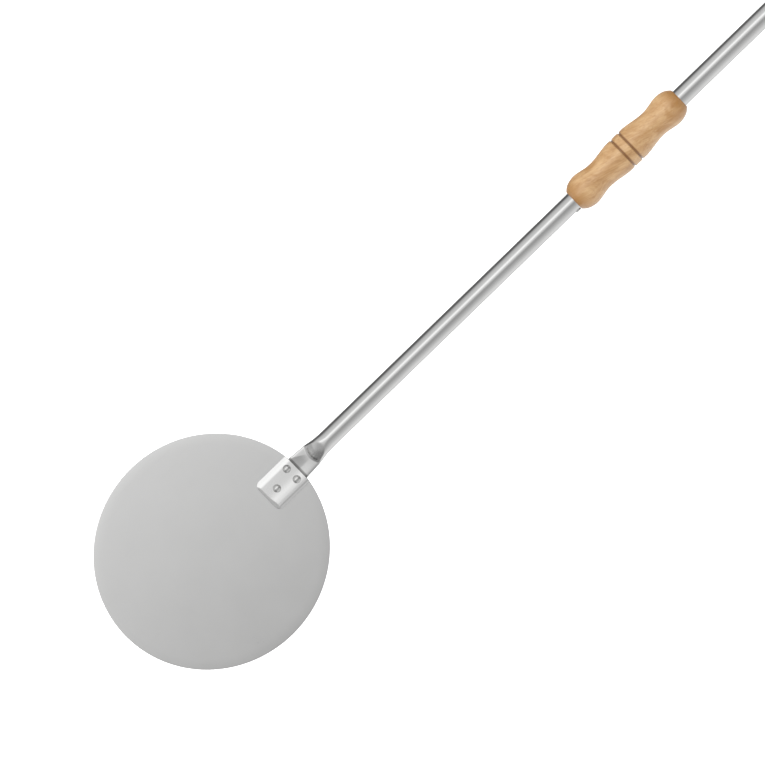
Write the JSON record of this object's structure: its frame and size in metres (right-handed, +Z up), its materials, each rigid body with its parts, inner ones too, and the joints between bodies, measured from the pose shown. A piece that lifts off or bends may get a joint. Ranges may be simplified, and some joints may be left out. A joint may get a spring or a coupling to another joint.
{
  "type": "pizza peel",
  "caption": "Round steel pizza-turning peel on a long steel tube, with a wooden grip that slides and spins, a fixed wooden end grip and a hanging ring.",
  "frame": {"origin": "centre of the round blade's flat underside", "axes": "+X along the handle away from the blade, +Y across the blade, +Z up from the table it lies on"},
  "size_m": [1.2122, 0.2254, 0.0457],
  "materials": {
    "blade_steel": "satin",
    "plate_steel": "satin",
    "tube_steel": "polished",
    "rivet_steel": "polished",
    "wire_steel": "polished",
    "beech": "clear lacquer",
    "liner_plastic": "matte"
  },
  "bodies": {
    "shaft": {"blade": "blade_steel", "cover_plate": "plate_steel", "head_rivet_left": "rivet_steel", "head_rivet_right": "rivet_steel", "head_rivet_tip": "rivet_steel", "tube": "tube_steel", "stop_rivet_body": "rivet_steel", "stop_rivet_mandrel": "rivet_steel", "rear_grip": "beech", "rear_grip_screw_left": "rivet_steel", "rear_grip_screw_right": "rivet_steel", "screw_eye": "wire_steel"},
    "liner": {"grip_liner": "liner_plastic"},
    "grip": {"sliding_grip": "beech"},
    "ring": {"hanging_ring": "wire_steel"}
  },
  "joints": [
    {"name": "grip_slide", "type": "slide", "parent": "shaft", "child": "liner", "axis": [0.9998, 0, 0.0192], "range_m": [0, 0.3185]},
    {"name": "grip_spin", "type": "hinge", "parent": "liner", "child": "grip", "pos_m": [0.1313, 0, 0.0105], "axis": [0.9998, 0, 0.0192], "continuous": true},
    {"name": "ring_swing", "type": "hinge", "parent": "shaft", "child": "ring", "pos_m": [1.08895, 0, 0.02691], "axis": [0, -1, 0], "range_deg": [-49, 180]}
  ]
}
